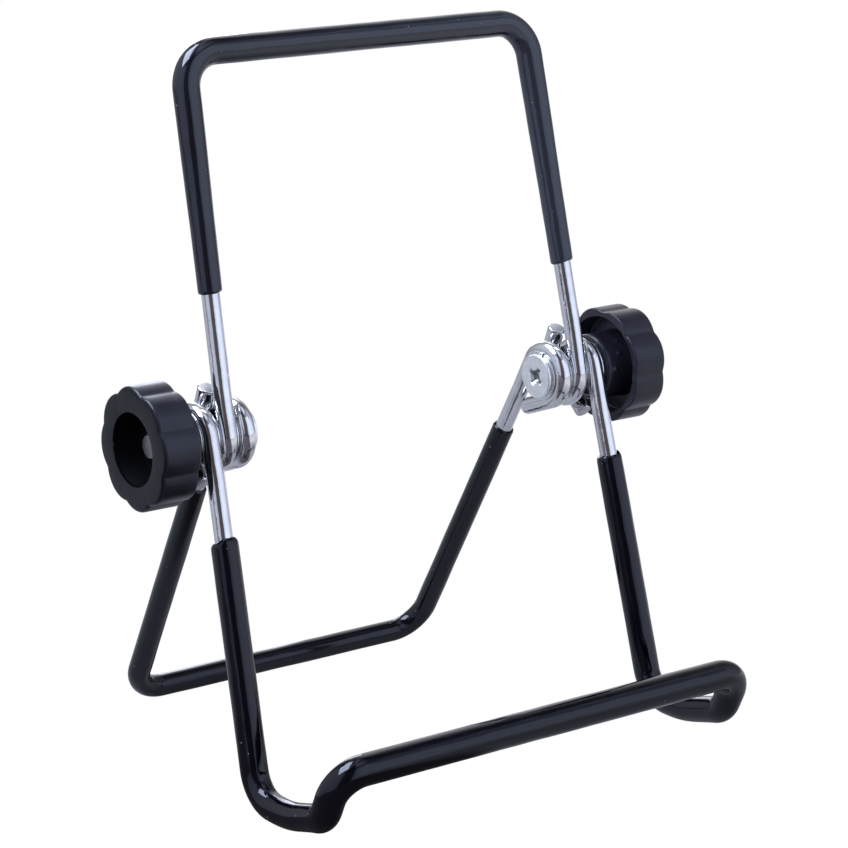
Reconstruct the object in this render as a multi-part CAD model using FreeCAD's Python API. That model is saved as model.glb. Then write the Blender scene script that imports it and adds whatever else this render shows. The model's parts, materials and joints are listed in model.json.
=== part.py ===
import FreeCAD, Part
import math
import os

# Folding phone stand: three U-shaped frames of round steel wire, dipped in vinyl, that
# turn on two screws with big lobed knobs.  Millimetres.  +X runs across the stand, +Y
# points to the back, +Z up.  The origin lies on the floor, in the middle of the footprint.
#
# Inside the frames the hinge axis is the reference: it runs along X, and a place is given
# by its distance across (x), behind the axis (y) and above the axis (z).  A direction in
# the side view is an angle counted from straight up towards the back.

# ---- wire and vinyl ----------------------------------------------------------------
WIRE_R = 2.0                 # 4 mm steel wire
EYE_R = 5.9                  # centreline radius of the eyes that the screws pass through
STRAIGHT_AFTER_EYE = 9.0     # length beside the eye that stays parallel to the eye's plane
SPREAD_BEND_R = 60.0         # soft bend where a shank starts to run inwards or outwards
COAT_EDGE = 0.45             # length and depth of the rounded shoulder at a coating's end

# ---- hinge axis and eye planes -----------------------------------------------------
AXIS_HEIGHT = 75.9           # hinge axis above the floor
WASHER_T = 0.65              # plain washers between the eyes and under the knobs
EYE_PITCH = 2 * WIRE_R + WASHER_T
REAR_EYE_X = 43.0
UPPER_EYE_X = REAR_EYE_X + EYE_PITCH
LOWER_EYE_X = UPPER_EYE_X + EYE_PITCH

# ---- upper frame, the back rest ----------------------------------------------------
UPPER_LEAN = 13.4
UPPER_LENGTH = 80.6          # hinge axis to the middle of the top bar
UPPER_TOP_X = 45.5           # half the distance between the shanks at the top bar
UPPER_CORNER_R = 8.0
UPPER_EYE_WRAP = 215.0
UPPER_TAIL = 8.5
UPPER_COAT_START = {1: 25.2, -1: 30.0}
UPPER_COAT_R = 2.6
UPPER_COAT_BAR_R = 3.0

# ---- lower frame, the cradle -------------------------------------------------------
LOWER_LEAN = 15.0
LOWER_FOOT_X = 54.4
HEEL_R = 8.0
FOOT_FLAT = 12.0
FOOT_RISE_ANGLE = 16.0
FOOT_RISE = 13.2
FOOT_BEND_R = 30.0
TOE_R = 5.0
LIP_LEAN = 25.0
LIP_LENGTH = 11.9
LIP_CORNER_R = 6.5
LOWER_EYE_WRAP = 215.0
LOWER_TAIL = 8.0
LOWER_COAT_START = {1: 20.2, -1: 21.8}
LOWER_COAT_R = 3.0
LOWER_COAT_TOE_R = 3.25
LOWER_COAT_BAR_R = 3.38

# ---- rear leg ----------------------------------------------------------------------
REAR_LEAN = 29.4
REAR_FOOT_X = 40.9
REAR_CORNER_R = 8.0
REAR_EYE_WRAP = 220.6
REAR_TAIL = 9.9
REAR_COAT_START = {1: 21.2, -1: 21.2}
REAR_COAT_R = 2.6

# ---- screw and washers -------------------------------------------------------------
SCREW_R = 3.0
SCREW_LENGTH = 23.35         # under the head
SCREW_CHAMFER = 0.6
HEAD_R = 5.1
HEAD_T = 0.85
HEAD_EDGE_R = 0.3
CROSS_LENGTH = 4.7
CROSS_WIDTH = 1.1
CROSS_DEPTH = 1.7
CROSS_CORE_R = 1.25
CROSS_TURN = 32.0
WASHER_BORE_R = 3.2
LOCK_WASHER_R = 5.75
LOCK_WASHER_T = 0.55
LOCK_SPLIT = 0.6             # width of the gap in the lock washer
LOCK_SPLIT_TURN = 18.0       # the gap's place, from straight up towards the front
EYE_WASHER_R = 6.2
KNOB_WASHER_R = 6.5

# ---- knob --------------------------------------------------------------------------
LOBES = 8
LOBE_R = 7.0                 # radius of one lobe
LOBE_TIP_R = 13.45           # knob axis to a lobe's tip
VALLEY_R = 1.2               # hollow between two lobes
VALLEY_TURN = {1: 1.8, -1: 15.6}    # how the right (1) and left (-1) knobs stand when tight
HUB_R = 7.7
HUB_EDGE_R = 0.9
SKIRT_START = 4.0            # hub face to the skirt's edge
SKIRT_INNER_R = 11.4
GROOVE_END = 9.2             # hub face to the floor of the groove round the hub
KNOB_LENGTH = 12.8
KNOB_FACE_EDGE_R = 0.8
SKIRT_EDGE_R = 0.5
RECESS_MOUTH_R = 7.9
RECESS_FLOOR_R = 6.2
RECESS_DEPTH = 6.2
RECESS_EDGE_R = 0.4
KNOB_BORE_R = 3.15
INSERT_R = 4.5
INSERT_START = 1.2
INSERT_LENGTH = 5.0
INSERT_BORE_R = 3.05


def side_direction(angle):
    """Unit vector in the side view, `angle` degrees from up towards the back."""
    turn = math.radians(angle)
    return FreeCAD.Vector(0, math.sin(turn), math.cos(turn))


def at_x(point, x):
    return FreeCAD.Vector(x, point.y, point.z)


# ---- frame outlines, relative to the hinge axis ------------------------------------
def upper_corners():
    """Right-hand half of the upper frame, from beside its eye to the top bar's middle."""
    along = side_direction(UPPER_LEAN)
    beside_eye = side_direction(UPPER_LEAN - 90) * EYE_R
    top = beside_eye + along * UPPER_LENGTH
    points = [
        at_x(beside_eye, UPPER_EYE_X),
        at_x(beside_eye + along * STRAIGHT_AFTER_EYE, UPPER_EYE_X),
        at_x(top, UPPER_TOP_X),
        at_x(top, 0),
    ]
    return points, [SPREAD_BEND_R, UPPER_CORNER_R]


def lower_corners():
    """Right-hand half of the lower frame: shank, foot, lip and half the front bar."""
    along = side_direction(180 + LOWER_LEAN)
    beside_eye = side_direction(LOWER_LEAN - 90) * EYE_R
    drop = AXIS_HEIGHT - LOWER_COAT_R + beside_eye.z
    heel = beside_eye + along * (drop / math.cos(math.radians(LOWER_LEAN)))
    sole = heel + side_direction(270) * FOOT_FLAT
    toe = sole + side_direction(270 + FOOT_RISE_ANGLE) * FOOT_RISE
    lip = toe + side_direction(-LIP_LEAN) * LIP_LENGTH
    points = [
        at_x(beside_eye, LOWER_EYE_X),
        at_x(beside_eye + along * STRAIGHT_AFTER_EYE, LOWER_EYE_X),
        at_x(heel, LOWER_FOOT_X),
        at_x(sole, LOWER_FOOT_X),
        at_x(toe, LOWER_FOOT_X),
        at_x(lip, LOWER_FOOT_X),
        at_x(lip, 0),
    ]
    return points, [SPREAD_BEND_R, HEEL_R, FOOT_BEND_R, TOE_R, LIP_CORNER_R]


def rear_corners():
    """Right-hand half of the rear leg, from beside its eye to the floor bar's middle."""
    along = side_direction(180 - REAR_LEAN)
    beside_eye = side_direction(90 - REAR_LEAN) * EYE_R
    drop = AXIS_HEIGHT - REAR_COAT_R + beside_eye.z
    foot = beside_eye + along * (drop / math.cos(math.radians(REAR_LEAN)))
    points = [
        at_x(beside_eye, REAR_EYE_X),
        at_x(beside_eye + along * STRAIGHT_AFTER_EYE, REAR_EYE_X),
        at_x(foot, REAR_FOOT_X),
        at_x(foot, 0),
    ]
    return points, [SPREAD_BEND_R, REAR_CORNER_R]


def hinge_behind_origin():
    """How far behind the origin the hinge lies when the origin is mid-footprint."""
    front = lower_corners()[0][-1].y - LOWER_COAT_BAR_R
    back = rear_corners()[0][-1].y + REAR_COAT_R
    return -(front + back) / 2


# ---- bent rods -----------------------------------------------------------------------
def bend(before, corner, after, radius):
    """Start, middle and end of the arc that rounds one corner of a path."""
    inward = (before - corner).normalize()
    outward = (after - corner).normalize()
    half = inward.getAngle(outward) / 2
    cut = radius / math.tan(half)
    middle_way = (inward + outward).normalize()
    centre = corner + middle_way * (radius / math.sin(half))
    return corner + inward * cut, centre - middle_way * radius, corner + outward * cut


def path_pieces(points, radii):
    """Straight and curved pieces of a rounded path, each a tuple of two or three points."""
    pieces = []
    here = points[0]
    for index, radius in enumerate(radii):
        start, middle, end = bend(*points[index:index + 3], radius)
        pieces.append((here, start))
        pieces.append((start, middle, end))
        here = end
    pieces.append((here, points[-1]))
    return pieces


def round_bar(start, end, start_r, end_r):
    along = end - start
    if abs(start_r - end_r) < 1e-6:
        return Part.makeCylinder(start_r, along.Length, start, along)
    return Part.makeCone(start_r, end_r, along.Length, start, along)


def round_bend(start, middle, end, radius):
    """Part of a torus whose centreline passes through three points."""
    centre = Part.Arc(start, middle, end).toShape().Curve.Center
    axis = (start - centre).cross(middle - centre).normalize()
    tangent = axis.cross(start - centre)
    section = Part.Face(Part.Wire(Part.makeCircle(radius, start, tangent)))
    sweep = math.degrees((start - centre).getAngle(middle - centre)) * 2
    return section.revolve(centre, axis, sweep)


def rod(pieces, radii):
    """Solid rod along a path; radii holds the radius at the start of each piece and at the end."""
    solids = []
    for index, piece in enumerate(pieces):
        if len(piece) == 2:
            solids.append(round_bar(*piece, radii[index], radii[index + 1]))
        else:
            solids.append(round_bend(*piece, radii[index]))
    return solids


def eye_pieces(beside_eye, shank_angle, wrap, tail, side):
    """Wire from beside the screw round the eye and along its straight tail.

    side is +1 when the shank's eye end lies 90 degrees clockwise of the shank's direction.
    """
    start_angle = shank_angle + side * 90

    def on_eye(turned):
        return at_x(side_direction(start_angle + side * turned) * EYE_R, beside_eye.x)

    third = wrap / 3
    end = on_eye(wrap)
    tail_way = side_direction(start_angle + side * (wrap + 90))
    first = (on_eye(0), on_eye(third / 2), on_eye(third))
    second = (on_eye(third), on_eye(third * 1.5), on_eye(third * 2))
    last = (on_eye(third * 2), on_eye(third * 2.5), end)
    return [first, second, last, (end, end + tail_way * tail)]


def mirrored(solid):
    return solid.mirror(FreeCAD.Vector(0, 0, 0), FreeCAD.Vector(1, 0, 0))


def joined(solids):
    return solids[0].fuse(solids[1:]).removeSplitter()


def wire_frame(corners, shank_angle, wrap, tail, side):
    """The whole bent wire of one frame, both eyes included."""
    points, radii = corners
    pieces = path_pieces(points, radii)
    pieces += eye_pieces(points[0], shank_angle, wrap, tail, side)
    half = rod(pieces, [WIRE_R] * (len(pieces) + 1))
    return joined(half + [mirrored(solid) for solid in half])


def coat_half(corners, coat_radii, start):
    """Vinyl on the right-hand half of a frame, still solid, from `start` past the eye."""
    points, radii = corners
    pieces = path_pieces(points, radii)[2:]
    along = (points[2] - points[1]).normalize()
    edge = points[1] + along * (start - STRAIGHT_AFTER_EYE)
    shoulder = edge + along * COAT_EDGE
    pieces[0] = (shoulder, pieces[0][1])
    tip = round_bar(edge, shoulder, coat_radii[0] - COAT_EDGE, coat_radii[0])
    return [tip] + rod(pieces, coat_radii)


def coating(corners, coat_radii, starts, wire):
    """Vinyl tube round a frame's wire; starts holds its two ends, right (1) and left (-1)."""
    right = coat_half(corners, coat_radii, starts[1])
    left = [mirrored(solid) for solid in coat_half(corners, coat_radii, starts[-1])]
    return joined(right + left).cut(wire)


# ---- hardware, built on the right-hand side with x counted from the hinge's middle -----
def ring(start_x, length, outer_r, inner_r):
    """Flat ring whose axis is the hinge axis."""
    base = FreeCAD.Vector(start_x, 0, 0)
    across = FreeCAD.Vector(1, 0, 0)
    disc = Part.makeCylinder(outer_r, length, base, across)
    return disc.cut(Part.makeCylinder(inner_r, length, base, across))


def edges_at(solid, x, low_r, high_r):
    """Edges that lie in the plane at x, between two distances from the hinge axis."""
    found = []
    for edge in solid.Edges:
        middle = edge.valueAt((edge.FirstParameter + edge.LastParameter) / 2)
        flat = edge.BoundBox.XLength < 1e-4 and abs(middle.x - x) < 1e-4
        if flat and low_r <= math.hypot(middle.y, middle.z) <= high_r:
            found.append(edge)
    return found


def screw():
    """Cross-recessed screw with a thin flat head, its head on the stand's inner side."""
    under_head = REAR_EYE_X - WIRE_R - LOCK_WASHER_T
    face = under_head - HEAD_T
    across = FreeCAD.Vector(1, 0, 0)
    head = Part.makeCylinder(HEAD_R, HEAD_T, FreeCAD.Vector(face, 0, 0), across)
    head = head.makeFillet(HEAD_EDGE_R, edges_at(head, face, HEAD_R - 0.1, HEAD_R + 0.1))
    plain = SCREW_LENGTH - SCREW_CHAMFER
    shank = Part.makeCylinder(SCREW_R, plain, FreeCAD.Vector(under_head, 0, 0), across)
    tip = Part.makeCone(SCREW_R, SCREW_R - SCREW_CHAMFER, SCREW_CHAMFER,
                        FreeCAD.Vector(under_head + plain, 0, 0), across)
    body = head.fuse([shank, tip]).removeSplitter()
    core = Part.makeCone(CROSS_CORE_R, 0.3, CROSS_DEPTH, FreeCAD.Vector(face, 0, 0), across)
    return body.cut([cross_slot(face, CROSS_TURN), cross_slot(face, CROSS_TURN + 90), core])


def lock_washer():
    """Split washer between the screw's head and the rear leg's eye."""
    start = REAR_EYE_X - WIRE_R - LOCK_WASHER_T
    washer = ring(start, LOCK_WASHER_T, LOCK_WASHER_R, WASHER_BORE_R)
    corner = FreeCAD.Vector(start - 1, -LOCK_SPLIT / 2, 0)
    gap = Part.makeBox(LOCK_WASHER_T + 2, LOCK_SPLIT, LOCK_WASHER_R + 1, corner)
    gap.rotate(FreeCAD.Vector(0, 0, 0), FreeCAD.Vector(1, 0, 0), LOCK_SPLIT_TURN)
    return washer.cut(gap)


def cross_slot(face_x, turn):
    """One wedge-shaped arm pair of the cross recess, `turn` degrees round the hinge axis."""
    half = CROSS_LENGTH / 2
    outline = Part.makePolygon([
        FreeCAD.Vector(face_x, -half, 0),
        FreeCAD.Vector(face_x, half, 0),
        FreeCAD.Vector(face_x + CROSS_DEPTH, half * 0.35, 0),
        FreeCAD.Vector(face_x + CROSS_DEPTH, -half * 0.35, 0),
        FreeCAD.Vector(face_x, -half, 0),
    ])
    slot = Part.Face(outline).extrude(FreeCAD.Vector(0, 0, CROSS_WIDTH))
    slot.translate(FreeCAD.Vector(0, 0, -CROSS_WIDTH / 2))
    slot.rotate(FreeCAD.Vector(0, 0, 0), FreeCAD.Vector(1, 0, 0), turn)
    return slot


def lobed_outline(x, first_valley):
    """Outline of round lobes joined by small hollows, in the plane at x.

    first_valley is the angle of one hollow about the hinge axis, from the back upwards.
    """
    step = 2 * math.pi / LOBES
    lobe_centre_r = LOBE_TIP_R - LOBE_R
    reach = LOBE_R + VALLEY_R
    half_gap = lobe_centre_r * math.sin(step / 2)
    valley_centre_r = lobe_centre_r * math.cos(step / 2) + math.sqrt(reach ** 2 - half_gap ** 2)
    # angle at a lobe's centre between its own tip and the point where a hollow begins
    lean = math.atan2(valley_centre_r * math.sin(step / 2),
                      valley_centre_r * math.cos(step / 2) - lobe_centre_r)

    def place(radius, angle):
        turn = math.radians(first_valley) + angle
        return FreeCAD.Vector(x, radius * math.cos(turn), radius * math.sin(turn))

    def on_lobe(angle, off):
        centre = place(lobe_centre_r, angle)
        return centre + place(LOBE_R, angle + off) - FreeCAD.Vector(x, 0, 0)

    edges = []
    for index in range(LOBES):
        valley = index * step
        lobe = valley + step / 2
        start = on_lobe(lobe, -lean)
        end = on_lobe(lobe, lean)
        edges.append(Part.Arc(start, place(LOBE_TIP_R, lobe), end).toShape())
        following = on_lobe(lobe + step, -lean)
        bottom = place(valley_centre_r - VALLEY_R, valley + step)
        edges.append(Part.Arc(end, bottom, following).toShape())
    return Part.Wire(edges)


def knob(first_valley):
    """Lobed clamping knob: skirt, central hub, and a round recess in its outer face."""
    hub_face = LOWER_EYE_X + WIRE_R + WASHER_T
    skirt_face = hub_face + SKIRT_START
    outer_face = hub_face + KNOB_LENGTH
    across = FreeCAD.Vector(1, 0, 0)
    outline = lobed_outline(skirt_face, first_valley)
    lobes = Part.Face(outline).extrude(across * (outer_face - skirt_face))
    lobes = lobes.makeFillet(KNOB_FACE_EDGE_R, edges_at(lobes, outer_face, 0, LOBE_TIP_R + 1))
    lobes = lobes.makeFillet(SKIRT_EDGE_R, edges_at(lobes, skirt_face, 0, LOBE_TIP_R + 1))
    groove = ring(skirt_face, GROOVE_END - SKIRT_START, SKIRT_INNER_R, HUB_R)
    centre = Part.makeCylinder(HUB_R, SKIRT_START, FreeCAD.Vector(hub_face, 0, 0), across)
    body = lobes.cut(groove).fuse(centre).removeSplitter()
    body = body.makeFillet(HUB_EDGE_R, edges_at(body, hub_face, HUB_R - 0.1, HUB_R + 0.1))
    recess = Part.makeCone(RECESS_MOUTH_R, RECESS_FLOOR_R, RECESS_DEPTH,
                           FreeCAD.Vector(outer_face, 0, 0), -across)
    body = body.cut(recess)
    rim = edges_at(body, outer_face, RECESS_MOUTH_R - 0.1, RECESS_MOUTH_R + 0.1)
    body = body.makeFillet(RECESS_EDGE_R, rim)
    bore = Part.makeCylinder(KNOB_BORE_R, KNOB_LENGTH, FreeCAD.Vector(hub_face, 0, 0), across)
    pocket = Part.makeCylinder(INSERT_R, INSERT_LENGTH,
                               FreeCAD.Vector(hub_face + INSERT_START, 0, 0), across)
    return body.cut([bore, pocket])


def knob_insert():
    """Threaded metal insert moulded into the knob's hub, drawn as a plain sleeve."""
    start = LOWER_EYE_X + WIRE_R + WASHER_T + INSERT_START
    return ring(start, INSERT_LENGTH, INSERT_R, INSERT_BORE_R)


def joint_hardware(side):
    """Pieces of one joint by name, in the order they sit on the screw, placed as on the right."""
    return {
        "screw": screw(),
        "lock_washer": lock_washer(),
        "inner_washer": ring(REAR_EYE_X + WIRE_R, WASHER_T, EYE_WASHER_R, WASHER_BORE_R),
        "outer_washer": ring(UPPER_EYE_X + WIRE_R, WASHER_T, EYE_WASHER_R, WASHER_BORE_R),
        "knob_washer": ring(LOWER_EYE_X + WIRE_R, WASHER_T, KNOB_WASHER_R, WASHER_BORE_R),
        "knob_insert": knob_insert(),
        "knob": knob(VALLEY_TURN[side]),
    }


def frames():
    upper = wire_frame(upper_corners(), UPPER_LEAN, UPPER_EYE_WRAP, UPPER_TAIL, -1)
    lower = wire_frame(lower_corners(), 180 + LOWER_LEAN, LOWER_EYE_WRAP, LOWER_TAIL, 1)
    rear = wire_frame(rear_corners(), 180 - REAR_LEAN, REAR_EYE_WRAP, REAR_TAIL, -1)
    upper_radii = [UPPER_COAT_R, UPPER_COAT_BAR_R, UPPER_COAT_BAR_R, UPPER_COAT_BAR_R]
    lower_radii = [LOWER_COAT_R, LOWER_COAT_R, LOWER_COAT_R, LOWER_COAT_R, LOWER_COAT_R,
                   LOWER_COAT_TOE_R, LOWER_COAT_TOE_R, LOWER_COAT_BAR_R, LOWER_COAT_BAR_R,
                   LOWER_COAT_BAR_R]
    rear_radii = [REAR_COAT_R] * 4
    return {
        "upper_frame_wire": upper,
        "upper_frame_coating": coating(upper_corners(), upper_radii, UPPER_COAT_START, upper),
        "lower_frame_wire": lower,
        "lower_frame_coating": coating(lower_corners(), lower_radii, LOWER_COAT_START, lower),
        "rear_leg_wire": rear,
        "rear_leg_coating": coating(rear_corners(), rear_radii, REAR_COAT_START, rear),
    }


def stand():
    """Every piece of the stand by node name, placed in the part's own frame."""
    pieces = frames()
    for name, solid in joint_hardware(1).items():
        pieces["right_" + name] = solid
    for name, solid in joint_hardware(-1).items():
        pieces["left_" + name] = mirrored(solid)
    hinge = FreeCAD.Vector(0, hinge_behind_origin(), AXIS_HEIGHT)
    return {name: solid.translated(hinge) for name, solid in pieces.items()}


def main():
    os.makedirs("parts", exist_ok=True)
    for name, shape in stand().items():
        shape.exportStep("parts/" + name + ".step")


main()
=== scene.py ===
import json
import math

import bmesh
import bpy
from mathutils import Matrix, Vector, noise


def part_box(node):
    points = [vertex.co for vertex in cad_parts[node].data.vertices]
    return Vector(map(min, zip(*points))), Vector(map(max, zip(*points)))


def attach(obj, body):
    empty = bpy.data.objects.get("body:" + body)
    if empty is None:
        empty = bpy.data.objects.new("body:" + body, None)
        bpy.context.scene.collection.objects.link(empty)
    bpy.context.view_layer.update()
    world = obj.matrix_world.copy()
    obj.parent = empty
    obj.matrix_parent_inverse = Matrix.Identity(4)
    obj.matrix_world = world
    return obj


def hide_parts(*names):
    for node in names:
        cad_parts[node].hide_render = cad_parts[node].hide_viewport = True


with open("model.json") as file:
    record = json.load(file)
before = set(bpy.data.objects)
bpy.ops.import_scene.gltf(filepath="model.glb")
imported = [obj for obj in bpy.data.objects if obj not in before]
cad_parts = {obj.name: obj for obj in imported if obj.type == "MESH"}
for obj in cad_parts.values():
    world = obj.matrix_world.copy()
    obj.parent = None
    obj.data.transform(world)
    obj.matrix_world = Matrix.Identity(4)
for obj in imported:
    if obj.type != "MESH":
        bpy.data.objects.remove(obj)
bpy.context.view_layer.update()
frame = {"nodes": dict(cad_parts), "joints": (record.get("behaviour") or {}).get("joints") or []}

MM = 0.001
PER_METRE = 1000.0
HINGE = Vector(next(j["pos_m"] for j in frame["joints"] if j["name"] == "upper_frame_tilt"))

# the direction from which the photo was taken, in degrees
AZIMUTH = -36.292
ELEVATION = 14.85

# ---- sizes ---------------------------------------------------------------------------------
# Millimetres and degrees, counted from the middle of the hinge axis. Most are the CAD part's.
WIRE_R = 2.0
EYE_R = 5.9
STRAIGHT_AFTER_EYE = 9.0
SPREAD_BEND_R = 60.0
CORNER_R = 8.0
WASHER_T = 0.65
EYE_PITCH = 2 * WIRE_R + WASHER_T
REAR_EYE_X = 43.0
UPPER_EYE_X = REAR_EYE_X + EYE_PITCH
LOWER_EYE_X = UPPER_EYE_X + EYE_PITCH
AXIS_HEIGHT = HINGE.z / MM
HEAD_FACE_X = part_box("right_screw")[0].x / MM
SCREW_END_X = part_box("right_screw")[1].x / MM
HUB_FACE_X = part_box("right_knob")[0].x / MM
KNOB_FACE_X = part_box("right_knob")[1].x / MM

UPPER_LEAN = 13.4
UPPER_LENGTH = 80.6
UPPER_TOP_X = 45.5
UPPER_EYE_WRAP = 215.0
UPPER_TAIL = 8.5

LOWER_LEAN = 15.0
LOWER_FOOT_X = 54.4
LOWER_COAT_R = 3.0
FOOT_FLAT = 12.0
FOOT_RISE_ANGLE = 16.0
FOOT_RISE = 13.2
FOOT_BEND_R = 30.0
TOE_R = 5.0
LIP_LEAN = 25.0
LIP_LENGTH = 11.9
LIP_CORNER_R = 6.5
LOWER_EYE_WRAP = 215.0
LOWER_TAIL = 8.0

REAR_LEAN = 29.4
REAR_FOOT_X = 40.9
REAR_COAT_R = 2.6
REAR_EYE_WRAP = 220.6
REAR_TAIL = 9.9

# inset from the wire's end and radius there: the sheared end's edge is broken by these rings
SHEARED_END = ((0.0, WIRE_R - 0.30), (0.10, WIRE_R - 0.10), (0.32, WIRE_R))

COAT_FILM = 0.10            # thickness of a coating at its very edge
COAT_END_ZONE = 2.2         # length of the closely ringed zone at each end, in shoulders
COAT_END_RINGS = 12
COAT_EDGE_FADE = 2.6        # distance over which the ragged edge's waves fade out

WASHER_BORE_R = 3.2
EYE_WASHER_R = 6.2
KNOB_WASHER_R = 6.5
LOCK_WASHER_R = 5.75
LOCK_WASHER_T = 0.55
LOCK_SPLIT = 0.6
LOCK_SPLIT_TURN = 18.0      # the gap's place, from straight up towards the front

LOBES = 8
LOBE_CENTRE_R = 6.45
LOBE_R = 7.0
LOBE_TIP_R = 13.45
VALLEY_R = 1.2
FIRST_VALLEY = {"right": 1.8, "left": 15.6}
HUB_R = 7.7
HUB_EDGE_R = 0.9
SKIRT_START = 4.0           # hub face to the skirt's edge
SKIRT_INNER_R = 11.4
GROOVE_END = 9.2            # hub face to the floor of the groove round the hub
RECESS_MOUTH_R = 7.9
RECESS_FLOOR_R = 6.2
RECESS_DEPTH = 6.2
KNOB_BORE_R = 3.15
SKIRT_LOBES_FROM_R = 11.6   # the skirt takes on the lobes outside this radius
SKIRT_LOBES_OVER = 0.7
FACE_LOBES_FROM_R = 9.0     # so does the end face, more gradually
FACE_LOBES_OVER = 3.0
INSERT_R = 4.5              # the pocket that holds the metal insert
INSERT_START = 1.2
INSERT_END = 6.2
# moulding spots on the hub of both knobs: place along the axis, angle round it
NUBS = ((60.2, 124.0), (58.9, 148.0), (63.2, 215.0), (57.2, 174.0))
NUB_HEIGHT = 0.30
NUB_R = 0.42

HEAD_R = 5.1
HEAD_T = 0.85
HEAD_EDGE_R = 0.3
CROSS_TURN = 32.0
CROSS_DEPTH = 1.3
CROSS_HALF_WIDTH = 0.62
CROSS_WALL = 0.16           # width of the slope at the sides of the cross
CROSS_REACH = 2.40
CROSS_RAMP = 1.25           # length of the slope at the tips of the cross
CROSS_CORE_R = 1.55
CROSS_CORE_WALL = 0.55
SCREW_R = 3.0
THREAD_R = 2.99
THREAD_LENGTH = 9.05
THREAD_DEPTH = 0.52
THREAD_PITCH = 1.0
THREAD_RUN_IN = 0.6

WIRE_SEGMENTS = 40
COAT_SEGMENTS = 48
WASHER_SEGMENTS = 96
LOCK_WASHER_STEPS = 90
KNOB_SEGMENTS = 256
SCREW_SEGMENTS = 128


def side_direction(angle):
    """Unit vector seen from the side: 0 is straight up, 90 towards the back, in degrees."""
    turn = math.radians(angle)
    return Vector((0, math.sin(turn), math.cos(turn)))


def at_x(point, x):
    return Vector((x, point.y, point.z))


# ---- centrelines -------------------------------------------------------------------------
def upper_corners():
    """Corners of the right half of the back rest, and the radii of the bends between them."""
    along = side_direction(UPPER_LEAN)
    beside = side_direction(UPPER_LEAN - 90) * EYE_R
    top = beside + along * UPPER_LENGTH
    points = [at_x(beside, UPPER_EYE_X), at_x(beside + along * STRAIGHT_AFTER_EYE, UPPER_EYE_X),
              at_x(top, UPPER_TOP_X), at_x(top, 0)]
    return points, [SPREAD_BEND_R, CORNER_R]


def lower_corners():
    """The same for the cradle: shank, foot, toe and lip."""
    along = side_direction(180 + LOWER_LEAN)
    beside = side_direction(LOWER_LEAN - 90) * EYE_R
    drop = AXIS_HEIGHT - LOWER_COAT_R + beside.z
    heel = beside + along * (drop / math.cos(math.radians(LOWER_LEAN)))
    sole = heel + side_direction(270) * FOOT_FLAT
    toe = sole + side_direction(270 + FOOT_RISE_ANGLE) * FOOT_RISE
    lip = toe + side_direction(-LIP_LEAN) * LIP_LENGTH
    points = [at_x(beside, LOWER_EYE_X), at_x(beside + along * STRAIGHT_AFTER_EYE, LOWER_EYE_X)]
    points += [at_x(p, LOWER_FOOT_X) for p in (heel, sole, toe, lip)]
    points += [at_x(lip, 0)]
    return points, [SPREAD_BEND_R, CORNER_R, FOOT_BEND_R, TOE_R, LIP_CORNER_R]


def rear_corners():
    """The same for the rear leg."""
    along = side_direction(180 - REAR_LEAN)
    beside = side_direction(90 - REAR_LEAN) * EYE_R
    drop = AXIS_HEIGHT - REAR_COAT_R + beside.z
    foot = beside + along * (drop / math.cos(math.radians(REAR_LEAN)))
    points = [at_x(beside, REAR_EYE_X), at_x(beside + along * STRAIGHT_AFTER_EYE, REAR_EYE_X),
              at_x(foot, REAR_FOOT_X), at_x(foot, 0)]
    return points, [SPREAD_BEND_R, CORNER_R]


def rounded(points, radii, step=0.5):
    """Points along a path whose corners are rounded with circular arcs."""
    out = [points[0]]

    def run_to(end):
        start = out[-1]
        count = max(1, round((end - start).length / step))
        out.extend(start.lerp(end, k / count) for k in range(1, count + 1))

    for before, corner, after, radius in zip(points, points[1:], points[2:], radii):
        inward = (before - corner).normalized()
        outward = (after - corner).normalized()
        half = inward.angle(outward) / 2
        centre = corner + (inward + outward).normalized() * (radius / math.sin(half))
        start = corner + inward * (radius / math.tan(half))
        run_to(start)
        sweep = math.pi - 2 * half
        first = start - centre
        across = (corner + outward * (radius / math.tan(half)) - centre)
        side = (across - first * math.cos(sweep)) / math.sin(sweep)
        count = max(3, math.ceil(radius * sweep / step), math.ceil(math.degrees(sweep) / 5))
        for k in range(1, count + 1):
            turn = sweep * k / count
            out.append(centre + first * math.cos(turn) + side * math.sin(turn))
    run_to(points[-1])
    return out


def eye_path(beside, shank_angle, wrap, tail, side):
    """From the tail's cut end back round the eye to the place beside the screw."""
    start = shank_angle + side * 90
    count = round(wrap / 4)
    ring = [at_x(side_direction(start + side * wrap * k / count) * EYE_R, beside.x)
            for k in range(1, count + 1)]
    way = side_direction(start + side * (wrap + 90))
    steps = round(tail / 0.5)
    straight = [ring[-1] + way * (tail * k / steps) for k in range(1, steps + 1)]
    return list(reversed(straight)) + list(reversed(ring))


def whole(half):
    """Both halves of a frame, from the left side to the right one."""
    left = [Vector((-p.x, p.y, p.z)) for p in half]
    return left + list(reversed(half))[1:]


def distances(path):
    total = [0.0]
    for a, b in zip(path, path[1:]):
        total.append(total[-1] + (b - a).length)
    return total


# ---- mesh helpers ------------------------------------------------------------------------
def new_object(node, suffix, bm, body, materials, smooth_angle):
    """Visual piece that stands in for one CAD node and rides on a body."""
    mesh = bpy.data.meshes.new(node + suffix)
    bmesh.ops.recalc_face_normals(bm, faces=bm.faces)
    bm.to_mesh(mesh)
    bm.free()
    obj = bpy.data.objects.new(node + suffix, mesh)
    bpy.context.scene.collection.objects.link(obj)
    for material in materials:
        mesh.materials.append(material)
    mesh.shade_smooth()
    mesh.set_sharp_from_angle(angle=math.radians(smooth_angle))
    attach(obj, body)
    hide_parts(node)


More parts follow.
